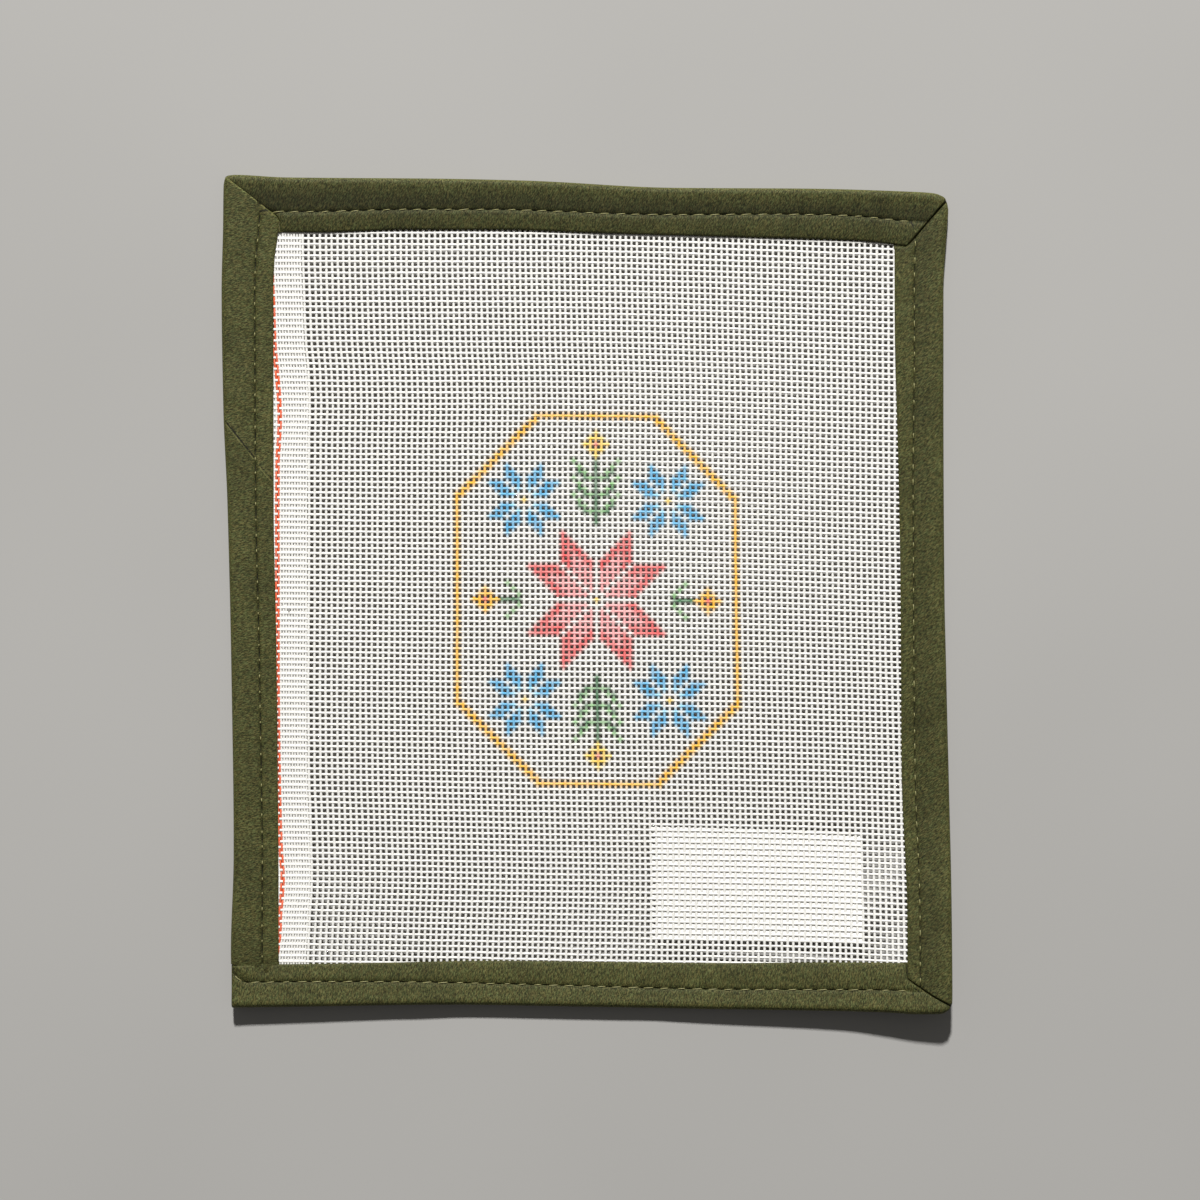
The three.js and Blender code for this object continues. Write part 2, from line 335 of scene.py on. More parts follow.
def front_height(run, at, depth, progress):
    """Height of the tape's front skin, depth in from the outer fold: pad, then leg. Each needle
    hole pulls a deep slit between the two."""
    width = run.width(at)
    seam = run.seam(at)
    from_seam = depth - seam
    height = np.where(from_seam < 0, pad_height(run, at, depth, seam),
                      leg_height(run, at, depth, seam, width))
    sewn = run.sewing.here(at)
    needle = run.needle(progress)
    pull = np.exp(-(np.abs(from_seam) / 1.4) ** 1.5) * sewn
    height = height - PUCKER * pull * (needle - 0.5) * (0.9 + 0.6 * waves(at, 17, run.phase + 1))
    slanting = 2 * np.pi * (at + 0.55 * from_seam) / WRINKLE_LENGTH
    wrinkle = WRINKLE * np.sin(slanting + run.phase + 2 * waves(at, 31, 0.3))
    height = height + wrinkle * smoothstep(0.3, 2.0, depth) * smoothstep(0.2, 1.2, width - depth)
    if run.join is not None:
        past = (at - run.join + JOIN_SLOPE * depth) * JOIN_SQUARE_ON
        height = height + JOIN_RIDGE * np.exp(-(past / 0.9) ** 2)
        height = height - JOIN_STEP * smoothstep(-0.6, 0.6, past)
    half_width = run.sewing.half_width
    slit = mix(1.1, 3.4, needle ** 4) * half_width * sewn
    sunk = height - slit * np.exp(-(from_seam / (half_width + 0.04)) ** 4)
    return np.maximum(sunk, FRONT_INNER + TAPE_THICKNESS + 0.02)


def tape_section(run, at):
    """Rows of (depth from the outer fold, height or None for the front skin, how much of a dip
    reaches it), from the back leg's turned-in raw edge round the outer fold to the front one."""
    width = run.width(at)
    seam = run.seam(at)
    level = 0 * width
    rows = [(level + depth, level + BACK_INNER, -0.25) for depth in (1.6, 4.5, 7.5)]
    turned_in = ((0.7, BACK_INNER), (0.15, 0.74), (0.0, 0.46), (0.12, 0.2), (0.6, BACK_SKIN))
    rows += [(width - short, level + height, -0.25) for short, height in turned_in]
    rows += [(level + depth, level + BACK_SKIN, -0.25) for depth in (7.6, 4.8, 2.4, 1.2)]
    fold = ((0.55, 0.16, -0.2), (0.2, 0.5, 0.0), (0.04, 1.0, 0.2), (0.0, FOLD_MIDDLE, 0.5))
    rows += [(level + depth, level + height, reach) for depth, height, reach in fold]
    front = [level + depth for depth in (0.04, 0.12, 0.28, 0.55, 0.95, 1.5, 2.1)]
    front += [mix(FOLD_RADIUS, seam - 1.3, part) for part in (0.25, 0.5, 0.75)]
    front += [seam + offset for offset in (-1.3, -0.8, -0.5, -0.36, -0.25, -0.14)]
    front += [seam + offset for offset in (0.0, 0.14, 0.25, 0.36, 0.5, 0.8, 1.2)]
    front += [mix(seam + 1.2, width - 0.5, part) for part in (0.33, 0.67)]
    front += [width - short for short in (0.5, 0.28, 0.12, 0.0)]
    rows += [(depth, None, 1.0) for depth in front]
    rows += [(width, level + FRONT_INNER + 0.2, 0.3), (width - 0.2, level + FRONT_INNER, 0.1)]
    rows += [(level + depth, level + FRONT_INNER, 0.1) for depth in (7.5, 4.5, 1.8)]
    return rows


def end_rows(mitre):
    """Places near a mitre, as distances on from its line, negative under the neighbour."""
    if mitre.tuck:
        return [-mitre.tuck, -mitre.tuck / 2, 0.0, 0.12, 0.28, 0.5, 0.85]
    return [0.0, 0.08, 0.18, 0.32, 0.52, 0.85]


def stations_of(run):
    """Places along a run, as shares of its length and shifts from there: four a stitch between
    the mitres, and closer ones at both."""
    share = np.arange(1, 4 * run.stitches) / (4 * run.stitches)
    clear = 1.3 / run.length
    share = share[(share > clear) & (share < 1 - clear)]
    start = np.array(end_rows(run.start))
    end = -np.array(end_rows(run.end)[::-1])
    return np.r_[0 * start, share, 1 + 0 * end], np.r_[start, 0 * share, end]


def end_change(run, at, share, start_at, end_at, reach):
    """What the ends add to the height: the top tape turns down, the one beneath slips under."""
    change = 0.0
    for past, mitre in run.past_ends(at, start_at, end_at):
        dip = mix(*mitre.dips, smoothstep(0.6, 0.85, share))
        if mitre.tuck:
            drop = dip * smoothstep(-0.42, 0.0, past) + 0.12 * smoothstep(-2.0, -0.4, past)
            change = change - drop * reach
        else:
            turn = dip * np.clip(1 + past / 0.5, 0, 1) ** 2
            change = change + max(reach, 0.0) * (0.07 * smoothstep(-4.0, -0.6, past) - turn)
    return change


def painted_slit_shade(run, at, from_seam, progress):
    """Painted shade in the slit of the stitching, most where the needle went in, and a little painted
    shade beside it.
    """
    sewn = run.sewing.here(at)
    beyond = run.needle(progress) - run.sewing.hole_level + 0.22 * waves(at, 9, run.phase + 3)
    shade = mix(*run.sewing.painted_shade_levels, smoothstep(-0.25, 0.25, beyond)) * sewn
    shade = shade * np.exp(-(from_seam / run.sewing.half_width) ** 4)
    beside = 0.06 * sewn * np.exp(-(from_seam / 0.8) ** 2)
    return shade, beside


def tone_of(run, at, depth, from_seam, progress, start_at, end_at):
    """How pale the cloth is against its plain colour: a painted highlight along the outer fold and on a
    top run's turned edge, random unevenness, painted shade in the slit of the stitching, beside it and
    in the tucked mitre gaps, and painted shade for how the light falls on each side's pad and leg."""
    # Painted highlight along the outer fold.
    rim = 0.45 * np.exp(-((depth - 0.2) / 0.35) ** 2)
    gap = 1.0
    # At each mitre: painted shade in a tucked run's gap, and a painted highlight on the top run's
    # turned edge.
    for past, mitre in run.past_ends(at, start_at, end_at):
        if mitre.tuck:
            gap = gap * (1 - mitre.tone * np.exp(-(past / 0.24) ** 2))
        else:
            rim = rim + mitre.tone * np.exp(-((past + 0.25) / 0.3) ** 2)
    # Painted shade in the slit of the stitching and beside it.
    shade, beside = painted_slit_shade(run, at, from_seam, progress)
    uneven = 0.05 * waves(at + 0.3 * depth, 19, run.phase + 5)
    uneven = uneven + 0.03 * waves(at - 0.7 * depth, 7, run.phase)
    # Painted shade for how the light falls on this side's pad and leg.
    pad = mix(1.0, run.tones[0], smoothstep(0.8, 5.8, depth))
    side = mix(pad, run.tones[1], smoothstep(-0.3, 0.3, from_seam))
    return side * (1 + rim + uneven - beside) * (1 - shade) * gap


def tape_surface(run):
    """The tape's skin as a grid of points, by station and place round the section, and the tone of the
    cloth at each, with its painted light and shade."""
    part, shift = stations_of(run)
    middle_at = run.between(run.MIDDLE, part) + shift
    points, tones = [], []
    for depth, height, reach in tape_section(run, middle_at):
        share = depth / run.width(middle_at)
        start_at = run.meets(share, run.start)
        end_at = run.meets(share, run.end)
        under = smoothstep(0.06, 0.35, share)
        at = mix(start_at, end_at, part) + np.where(shift * (0.5 - part) < 0, shift * under, shift)
        if run.start.bound is not None:
            at = np.maximum(at, np.minimum(start_at, run.start.bound))
        if run.end.bound is not None:
            at = np.minimum(at, np.maximum(end_at, run.end.bound))
        from_seam = depth - run.seam(middle_at)
        moved = run.sewing.line(at) - run.sewing.line(middle_at)
        share = share + moved * np.exp(-(from_seam / 2) ** 2)
        depth = share * run.width(at)
        progress = (at - start_at) / (end_at - start_at)
        tone = np.ones(at.shape)
        if height is None:
            height = front_height(run, at, depth, progress)
            tone = tone_of(run, at, depth, from_seam, progress, start_at, end_at)
        height = height + end_change(run, at, share, start_at, end_at, reach)
        x, y = run.plan(share, at)
        points.append(np.stack([x, y, height + lift_at(x, y)], axis=-1))
        tones.append(tone)
    return np.stack(points, axis=1), np.stack(tones, axis=1)


# Meshes from arrays

def grid_quads(rows, columns):
    corner = np.arange((rows - 1) * columns).reshape(rows - 1, columns)[:, :-1].ravel()
    return np.stack([corner, corner + 1, corner + columns + 1, corner + columns], axis=1)


def make_object(name, points, polygons, material):
    """points in millimetres; polygons is a list of index arrays, one row for each face."""
    mesh = bpy.data.meshes.new(name)
    sizes = np.concatenate([np.full(len(faces), faces.shape[1]) for faces in polygons])
    corners = np.concatenate([faces.ravel() for faces in polygons])
    mesh.vertices.add(len(points))
    mesh.vertices.foreach_set("co", (points * MM).astype(np.float32).ravel())
    mesh.loops.add(len(corners))
    mesh.loops.foreach_set("vertex_index", corners.astype(np.int32))
    mesh.polygons.add(len(sizes))
    mesh.polygons.foreach_set("loop_start", np.r_[0, np.cumsum(sizes)[:-1]].astype(np.int32))
    mesh.polygons.foreach_set("use_smooth", np.full(len(sizes), True))
    mesh.update(calc_edges=True)
    mesh.validate()
    mesh.materials.append(material)
    piece = bpy.data.objects.new(name, mesh)
    bpy.context.collection.objects.link(piece)
    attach(piece, "root")
    return piece


def set_colours(piece, name, colours):
    """colours holds four numbers for each point."""
    layer = piece.data.color_attributes.new(name, "FLOAT_COLOR", "POINT")
    layer.data.foreach_set("color", colours.astype(np.float32).ravel())


# Materials

class Nodes:
    """A short way to write a material. Inputs are given by name or number, each with a plain
    value or with the output of another node."""

    def __init__(self, name):
        self.material = bpy.data.materials.new(name)
        self.material.use_nodes = True
        self.tree = self.material.node_tree
        self.tree.nodes.clear()
        self.shader = self.add("ShaderNodeBsdfPrincipled")
        self.add("ShaderNodeOutputMaterial", {"Surface": self.shader.outputs["BSDF"]})
        self.place = self.add("ShaderNodeTexCoord").outputs["Object"]

    def feed(self, node, inputs):
        for name, value in inputs.items():
            if isinstance(value, bpy.types.NodeSocket):
                self.tree.links.new(value, node.inputs[name])
            else:
                node.inputs[name].default_value = value

    def add(self, kind, inputs=None, **settings):
        node = self.tree.nodes.new(kind)
        for name, value in settings.items():
            setattr(node, name, value)
        self.feed(node, inputs or {})
        return node

    def painted(self, layer):
        return self.add("ShaderNodeVertexColor", layer_name=layer).outputs["Color"]

    def noise(self, place, scale, detail=2.0, roughness=0.5):
        inputs = {"Vector": place, "Scale": scale, "Detail": detail, "Roughness": roughness}
        return self.add("ShaderNodeTexNoise", inputs).outputs["Fac"]

    def ramp(self, value, low, high, from_low=0.3, from_high=0.7):
        inputs = {"Value": value, "From Min": from_low, "From Max": from_high}
        inputs |= {"To Min": low, "To Max": high}
        return self.add("ShaderNodeMapRange", inputs).outputs["Result"]

    def bump(self, height, strength, distance, **before):
        inputs = {"Height": height, "Strength": strength, "Distance": distance * MM, **before}
        return self.add("ShaderNodeBump", inputs).outputs["Normal"]

    def math(self, operation, a, b):
        return self.add("ShaderNodeMath", {0: a, 1: b}, operation=operation).outputs[0]

    def vector(self, operation, output, inputs):
        return self.add("ShaderNodeVectorMath", inputs, operation=operation).outputs[output]

    def blend(self, factor, a, b, kind="MIX"):
        """Blends two colours. A colour mix has its factor at 0, its colours at 6 and 7."""
        inputs = {0: factor, 6: a, 7: b}
        return self.add("ShaderNodeMix", inputs, data_type="RGBA", blend_type=kind).outputs[2]


WHITE = srgb(238, 236, 230)
SHADE = srgb(216, 212, 204)


def canvas_material():
    """Stiffened cotton thread: white, with the paint of each crossing on it."""
    nodes = Nodes("canvas_thread")
    mottle = nodes.noise(nodes.place, scale=900.0, detail=3.0)
    fibre = nodes.noise(nodes.place, scale=5200.0)
    size = nodes.noise(nodes.place, scale=1700.0)
    nodes.feed(nodes.shader, {
        "Base Color": nodes.blend(nodes.ramp(mottle, 0.0, 0.22), nodes.painted("paint"), SHADE),
        "Normal": nodes.bump(fibre, 0.35, 0.08, Normal=nodes.bump(size, 0.3, 0.15)),
        "Roughness": nodes.ramp(size, 0.72, 0.92),
        "Specular IOR Level": 0.3,
    })
    return nodes.material


def film_material():
    """White paint dried across the canvas holes."""
    nodes = Nodes("paint_film")
    mottle = nodes.noise(nodes.place, scale=1400.0, detail=3.0)
    nodes.feed(nodes.shader, {
        "Base Color": nodes.blend(nodes.ramp(mottle, 0.0, 0.6), WHITE, SHADE),
        "Normal": nodes.bump(mottle, 0.4, 0.1),
        "Roughness": nodes.ramp(mottle, 0.5, 0.7),
    })
    return nodes.material


OLIVE = srgb(69, 69, 34)
OLIVE_DARK = srgb(35, 35, 14)
OLIVE_LIGHT = srgb(105, 104, 62)
# Painted shade for slits and creases, and a painted highlight for the fold edges beside them.
PAINTED_CREASE_SHADE = srgb(24, 24, 12)
PAINTED_EDGE_HIGHLIGHT = srgb(104, 102, 60)
GREENER = (0.91, 1.03, 1.02, 1.0)
WARMER = (1.07, 0.97, 0.93, 1.0)

# How far the cloth's floats are turned on each side, in degrees, and how they show in it.
FLOAT_TURNS = {"left": -76, "top": -22, "right": -52, "bottom": -14}
FLOAT_STRETCH = 4.0
FLOATS_SHARE = 0.72

# Thin lines painted on the cloth, as (from, to, half width, colour): painted shade in slits and
# creases, and a painted highlight on the fold edge beside them. On the left, along the slanting seam
# that joins two lengths of tape, and where the stitching turns the corner; on the top, where it turns
# down to the right side; on the bottom, the crease over the seam below it.
SHADE_AND_HIGHLIGHT_LINES = {
    "left": [
        ((-90.0, 42.4), (-83.2, 33.7), 0.10, PAINTED_EDGE_HIGHLIGHT),
        ((-90.0, 43.0), (-83.0, 34.2), 0.18, PAINTED_CREASE_SHADE),
        ((-81.9, 31.9), (-78.6, 27.8), 0.10, PAINTED_EDGE_HIGHLIGHT),
        ((-81.6, 32.3), (-78.5, 28.4), 0.11, PAINTED_CREASE_SHADE),
        ((-81.7, 95.5), (-80.1, 95.9), 0.20, PAINTED_CREASE_SHADE),
        ((-80.3, 95.9), (-79.6, 95.7), 0.20, PAINTED_CREASE_SHADE),
    ],
    "top": [
        ((81.3, 92.9), (82.0, 91.2), 0.20, PAINTED_CREASE_SHADE),
        ((82.1, 91.0), (82.6, 89.9), 0.12, PAINTED_EDGE_HIGHLIGHT),
    ],
    "right": [],
    "bottom": [
        ((82.0, -98.4), (83.2, -99.4), 0.14, PAINTED_CREASE_SHADE),
    ],
}


def line_mask(nodes, start, end, half_width):
    """1 on a thin line between two places in plan, on the tape's front only, 0 elsewhere."""
    start = np.array([*start, 0.0]) * MM
    run = np.array([*end, 0.0]) * MM - start
    length = float(np.linalg.norm(run))
    flat = nodes.vector("MULTIPLY_ADD", 0, {0: nodes.place, 1: (1, 1, 0), 2: tuple(-start)})
    along = nodes.vector("DOT_PRODUCT", "Value", {0: flat, 1: tuple(run / length)})
    reached = nodes.ramp(along, 0.0, 1.0, 0.0, length)
    nearest = nodes.vector("SCALE", 0, {0: tuple(run), "Scale": reached})
    gap = nodes.vector("DISTANCE", "Value", {0: flat, 1: nearest})
    ragged = nodes.ramp(nodes.noise(nodes.place, scale=1500.0), -0.13 * MM, 0.16 * MM)
    gap = nodes.math("ADD", gap, ragged)
    on_line = nodes.ramp(gap, 1.0, 0.0, half_width * 0.4 * MM, half_width * 1.3 * MM)
    height = nodes.add("ShaderNodeSeparateXYZ", {0: nodes.place}).outputs["Z"]
    on_front = nodes.ramp(height, 0.0, 1.0, 1.9 * MM, 2.2 * MM)
    return nodes.math("MULTIPLY", on_line, on_front)


def tape_material(name):
    """Olive sateen cut on the bias: fine floats that run at a slant to the tape, here greener and there
    warmer, under painted shade in a slow dark cloud that stands in for the shade of soft wrinkles. It
    carries the tone of each place, which holds painted light and shade, and thin lines of painted shade
    and highlight."""
    nodes = Nodes(f"olive_{name}")
    turned = nodes.add("ShaderNodeMapping", vector_type="TEXTURE")
    nodes.feed(turned, {
        "Vector": nodes.place,
        "Rotation": (0, 0, math.radians(FLOAT_TURNS[name])),
        "Scale": (1.0, FLOAT_STRETCH, 1.0),
    })
    turned = turned.outputs["Vector"]
    floats = nodes.noise(turned, scale=4400.0, detail=3.0, roughness=0.65)
    weave = nodes.noise(nodes.place, scale=3600.0, detail=3.0, roughness=0.7)
    hue = nodes.noise(turned, scale=2900.0)
    cloud = nodes.noise(nodes.place, scale=90.0, detail=3.0)
    grain = nodes.math("ADD", nodes.math("MULTIPLY", floats, FLOATS_SHARE),
                       nodes.math("MULTIPLY", weave, 1 - FLOATS_SHARE))
    cloth = nodes.blend(nodes.ramp(grain, 0.0, 1.0, 0.4, 0.5), OLIVE_DARK, OLIVE)
    cloth = nodes.blend(nodes.ramp(grain, 0.0, 1.0, 0.5, 0.61), cloth, OLIVE_LIGHT)
    tint = nodes.blend(nodes.ramp(hue, 0.0, 1.0, 0.4, 0.6), GREENER, WARMER)
    cloth = nodes.blend(1.0, cloth, tint, "MULTIPLY")
    # Painted shade: a slow dark cloud that stands in for the shade of soft wrinkles.
    cloth = nodes.blend(nodes.ramp(cloud, 0.0, 0.3, 0.4, 0.75), cloth, OLIVE_DARK)
    # The tone layer brings painted highlights and painted shade, with the cloth's random unevenness.
    cloth = nodes.blend(1.0, cloth, nodes.painted("tone"), "MULTIPLY")
    # Thin lines of painted shade in slits and creases, and painted highlight on fold edges.
    for start, end, half_width, colour in SHADE_AND_HIGHLIGHT_LINES[name]:
        cloth = nodes.blend(line_mask(nodes, start, end, half_width), cloth, colour)
    nodes.feed(nodes.shader, {
        "Base Color": cloth,
        "Normal": nodes.bump(grain, 0.6, 0.16),
        "Roughness": nodes.ramp(grain, 0.8, 0.58),
        "Specular IOR Level": 0.2,
        "Sheen Weight": 0.06,
        "Sheen Roughness": 0.4,
        "Sheen Tint": OLIVE_LIGHT,
    })
    return nodes.material


def sewing_thread_material():
    nodes = Nodes("sewing_thread")
    twist = nodes.noise(nodes.place, scale=4200.0)
    dark, light = srgb(112, 109, 64), srgb(156, 151, 101)
    nodes.feed(nodes.shader, {
        "Base Color": nodes.blend(nodes.ramp(twist, 0.0, 1.0), dark, light),
        "Normal": nodes.bump(twist, 0.4, 0.1),
        "Roughness": 0.45,
    })
    return nodes.material


def floor_material():
    nodes = Nodes("floor_paper")
    cloud = nodes.noise(nodes.place, scale=6.0)
    light, dark = srgb(170, 168, 164), srgb(165, 163, 159)
    nodes.feed(nodes.shader, {
        "Base Color": nodes.blend(nodes.ramp(cloud, 0.0, 1.0), light, dark),
        "Roughness": 0.9,
    })
    return nodes.material


# The canvas: its grid of warps and wefts

COLUMN_PITCH = 1.41
ROW_PITCH = 1.4025
COLUMNS = 108
ROWS = 136
FIRST_COLUMN_X = -69.4
FIRST_ROW_Y = -95.6
WINDOW_RIGHT = FIRST_COLUMN_X + COLUMN_PITCH * (COLUMNS - 1)

# The selvedge: closely set warps to the left of column 0, with gaps to the next one on the
# right. Two of them are orange marker threads. The ribs are how wide the wefts spread there.
SELVEDGE_GAPS = [0.69] * 10 + [0.48, 0.62, 0.54, 0.69, 0.69]
SELVEDGE_X = FIRST_COLUMN_X - np.cumsum(SELVEDGE_GAPS)
SELVEDGE_RIB = 1.1
SELVEDGE_SWING = 0.02
SELVEDGE_WARP_WIDE = 0.64
SELVEDGE_WARP_HEIGHT = 0.42
SELVEDGE_WARP_SUNK = 0.01
ORANGE_WARPS = (11, 12)
ORANGE_DISTANCE = 7.65
ORANGE_SWING = 0.13
ORANGE_RIB = 0.8
ORANGE_WIDE = 0.56

# Sideways drift of the columns, by height: at the orange warps, at column 0 and on the right.
ORANGE_DRIFT = Profile([
    (-92, -0.3), (-89, 0.0), (-86, 0.44), (-82, 0.54), (-77, 0.97), (-72, 1.19), (-67, 0.79),
    (-62, 0.54), (-52, 0.24), (-39, 0.05), (-27, -0.1), (-7, -0.2), (18, -0.2), (33, -0.15),
    (38, 0.2), (43, 0.39), (48, 0.24), (53, -0.15), (63, -1.0), (73, -1.3), (80, -1.6), (94, -1.9),
])
LEFT_DRIFT = Profile([
    (-92, -0.2), (-82, 0.3), (-72, 0.8), (-60, 0.5), (-46, 0.0), (-27, -0.15), (0, 0.0), (38, 0.05),
    (46, 0.25), (54, 0.0), (63, -0.75), (73, -1.15), (84, -1.5), (94, -1.6),
])
RIGHT_DRIFT = Profile([(-92, 2.3), (-50, 1.5), (0, 0.3), (25, 0.0), (90, -0.2)])
ROW_TILT = math.tan(math.radians(1.0))
ROW_SAG = 0.00009
BOW = 0.4

THREAD_WIDE = 0.79
THREAD_NARROW = 0.67
THREAD_HEIGHT = 0.46
WEAVE_SWING = 0.04
WANDER = 0.045

# A thread has five sides. How much of the paint reaches each of its edges, the top one first.
EDGE_PAINT = (1.0, 1.0, 0.25, 0.25, 1.0)
THREAD_SIDES = len(EDGE_PAINT)


def column_x(q):
    """Where column q lies before any drift: whole numbers are warps, those below 0 selvedge."""
    dense = np.r_[SELVEDGE_X[-1] - 0.6, SELVEDGE_X[::-1], FIRST_COLUMN_X]
    index = np.arange(-len(SELVEDGE_X) - 1, 1)
    return np.where(q >= 0, FIRST_COLUMN_X + COLUMN_PITCH * q, np.interp(q, index, dense))


def canvas_plan(q, r):
    """The place in plan of column q and row r, both of which may be fractions."""
    x = column_x(q)
    y = FIRST_ROW_Y + ROW_PITCH * r
    u = (x - FIRST_COLUMN_X) / (WINDOW_RIGHT - FIRST_COLUMN_X)
    drift = mix(LEFT_DRIFT(y), RIGHT_DRIFT(y), np.clip(u, 0, 1))
    at_orange = np.clip((FIRST_COLUMN_X - x) / ORANGE_DISTANCE, 0, 1)
    drift = drift + (ORANGE_DRIFT(y) - LEFT_DRIFT(y)) * at_orange
    bow_x = -BOW * np.sin(np.pi * x / 70) * (x > FIRST_COLUMN_X)
    bow_y = -BOW * np.sin(np.pi * y / 75)
    sag = ROW_TILT * x + ROW_SAG * x * x - 0.25 * np.sin(x / 24 + y / 60)
    return x + drift + bow_x, y + bow_y - sag


def canvas_level(x, y):
    """Height of the canvas's middle: almost flat, lifting with the corner."""
    dome = 0.12 * np.sin(x / 31 + 0.6) * np.sin(y / 37 + 1.0)
    return CANVAS_MIDDLE + dome + lift_at(x, y)


def waver(threads, at, size):
    """Each thread's own slight wander from its even place."""
    phase = DRAWS.uniform(0, 2 * np.pi, (threads, 3, 1))
    length = np.array([5.3, 13.7, 41.0])[None, :, None]
    part = np.array([0.35, 0.5, 0.6])[None, :, None]
    return size * (part * np.sin(2 * np.pi * at[None, None, :] / length + phase)).sum(axis=1)


def tube_faces(threads, rings, sides):
    """Quads round each of a set of equal tubes, and the caps that close their ends."""
    ring = np.arange(rings - 1) * sides
    quads = []
    for k in range(sides):
        other = (k + 1) % sides
        quads.append(np.stack([ring + k, ring + other, ring + sides + other, ring + sides + k], axis=1))
    one = np.stack(quads, axis=1).reshape(-1, 4)
    first = (np.arange(threads) * rings * sides)[:, None]
    cap = np.arange(sides)[None]
    caps = np.concatenate([cap[:, ::-1] + first, cap + (rings - 1) * sides + first])
    return (one[None] + first[:, None]).reshape(-1, 4), caps


def tube_points(centre, wide, high, sides):
    """Rings round tubes' centre lines, shape (threads, rings, 3), each with its own width."""
    along = np.gradient(centre[..., :2], axis=1)
    along = along / np.linalg.norm(along, axis=-1, keepdims=True)
    across = np.stack([along[..., 1], -along[..., 0]], axis=-1)
    angle = np.pi / 2 - 2 * np.pi * np.arange(sides) / sides
    points = np.repeat(centre[:, :, None, :], sides, axis=2)
    points[..., :2] += across[:, :, None, :] * (np.cos(angle) * wide[..., None] / 2)[..., None]
    points[..., 2] += np.sin(angle) * high / 2
    return points


def tube_uv(threads, rings, sides, low, high):
    """A strip of the unit square for each thread: bands for its sides, then spots for its caps."""
    n, r, k = np.meshgrid(np.arange(threads), np.arange(rings - 1), np.arange(sides), indexing="ij")
    band = (high - low) / threads
    u0 = r / (rings - 1)
    u1 = (r + 1) / (rings - 1)
    v0 = low + band * (n + 0.9 * k / sides)
    v1 = low + band * (n + 0.9 * (k + 1) / sides)
    corners = [np.stack(corner, -1) for corner in ((u0, v0), (u0, v1), (u1, v1), (u1, v0))]
    angle = 2 * np.pi * np.arange(sides) / sides
    dot = np.stack([np.cos(angle), np.sin(angle)], -1) * band * 0.03
    spot = low + band * (np.arange(threads) + 0.95)
    caps = [np.stack([np.full(threads, u), spot], -1)[:, None] + dot[None] for u in (0.002, 0.998)]
    return np.stack(corners, axis=-2).reshape(-1, 2), np.concatenate(caps).reshape(-1, 2)


def plain_white(shape):
    return np.broadcast_to(WHITE, (*shape, 4)).copy()


class Weave:
    """Threads of one part of the canvas, gathered into one piece."""

    def __init__(self):
        self.parts = []
        self.count = 0

    def add(self, centre, wide, high, paint, band):
        """Threads by their centre lines, with the paint at each ring and the band of the unit
        square that they take up."""
        threads, rings = centre.shape[:2]
        points = tube_points(centre, wide, high, THREAD_SIDES)
        quads, caps = tube_faces(threads, rings, THREAD_SIDES)
        uv = tube_uv(threads, rings, THREAD_SIDES, *band)
        reaches = np.array(EDGE_PAINT)[:, None]
        paint = mix(np.array(WHITE), paint[:, :, None, :], reaches)
        self.parts.append((points.reshape(-1, 3), paint.reshape(-1, 4),
                           quads + self.count, caps + self.count, *uv))
        self.count += threads * rings * THREAD_SIDES

    def finish(self, name, material):
        whole = [np.concatenate(part) for part in zip(*self.parts)]
        points, paint, quads, caps, uv_quads, uv_caps = whole
        piece = make_object(name, points, [quads, caps], material)
        smooth = np.r_[np.full(len(quads), True), np.full(len(caps), False)]
        piece.data.polygons.foreach_set("use_smooth", smooth)
        set_colours(piece, "paint", paint)
        uv = np.concatenate([uv_quads, uv_caps]).astype(np.float32)
        piece.data.uv_layers.new(name="OFBake").data.foreach_set("uv", uv.ravel())
        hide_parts("canvas")
        return piece


# The painted motif, charted on the canvas's crossings by symmetry

GOLD = srgb(254, 190, 30)
YELLOW = srgb(250, 210, 76)
PINK = srgb(250, 168, 168)
CORAL = srgb(238, 92, 92)
SKY = srgb(136, 208, 240)
BLUE = srgb(78, 176, 222)
LEAF = srgb(136, 190, 122)
GREEN = srgb(60, 118, 74)

MOTIF_COLUMN = 51
MOTIF_ROW = 67
FRAME_HALF_WIDTH = 25
FRAME_HALF_HEIGHT = 33
FRAME_CORNER = 44

# The stars' radii, and how far a small star, the sprigs and the diamonds are from the middle.
SMALL_STAR = (13, 18)
BIG_RADIUS = 12
SMALL_RADIUS = 6
SPRIG_START = 14
TOP_DIAMOND = 28
SIDE_DIAMOND = 20


def in_frame(a, b):
    """Inside the border: a box with its corners cut off in steps."""
    return a <= FRAME_HALF_WIDTH and b <= FRAME_HALF_HEIGHT and a + b <= FRAME_CORNER


def border_colour(a, b):
    edge = not all(in_frame(*near) for near in ((a + 1, b), (a, b + 1), (a + 1, b + 1)))
    return GOLD if edge else None


def star_colour(a, b, radius, light, deep):
    """An eight-pointed sampler star: four pairs of slanting petals round a yellow middle."""
    long, short = max(a, b), min(a, b)
    half = radius // 2
    if long == 0:
        return YELLOW
    if long > radius or short > half or long - short > half:
        return None
    if short == 0 or long == short:
        return None
    return light if long - short < half - 1 and short < half - 1 else deep


def diamond_colour(away, rim):
    if away > 2:
        return None
    return rim if away else CORAL


def sprig_colour(a, b):
    """Stems up and down from the big star, with paired leaves and a small diamond on top."""
    if a == 0 and SPRIG_START <= b <= 25:
        return GREEN
    for root in (15, 18, 21):
        rise = b - root
        if rise == a and 1 <= a <= 4:
            return LEAF
        if rise == a - 1 and 2 <= a <= 3:
            return GREEN
    return diamond_colour(a + abs(b - TOP_DIAMOND), YELLOW)


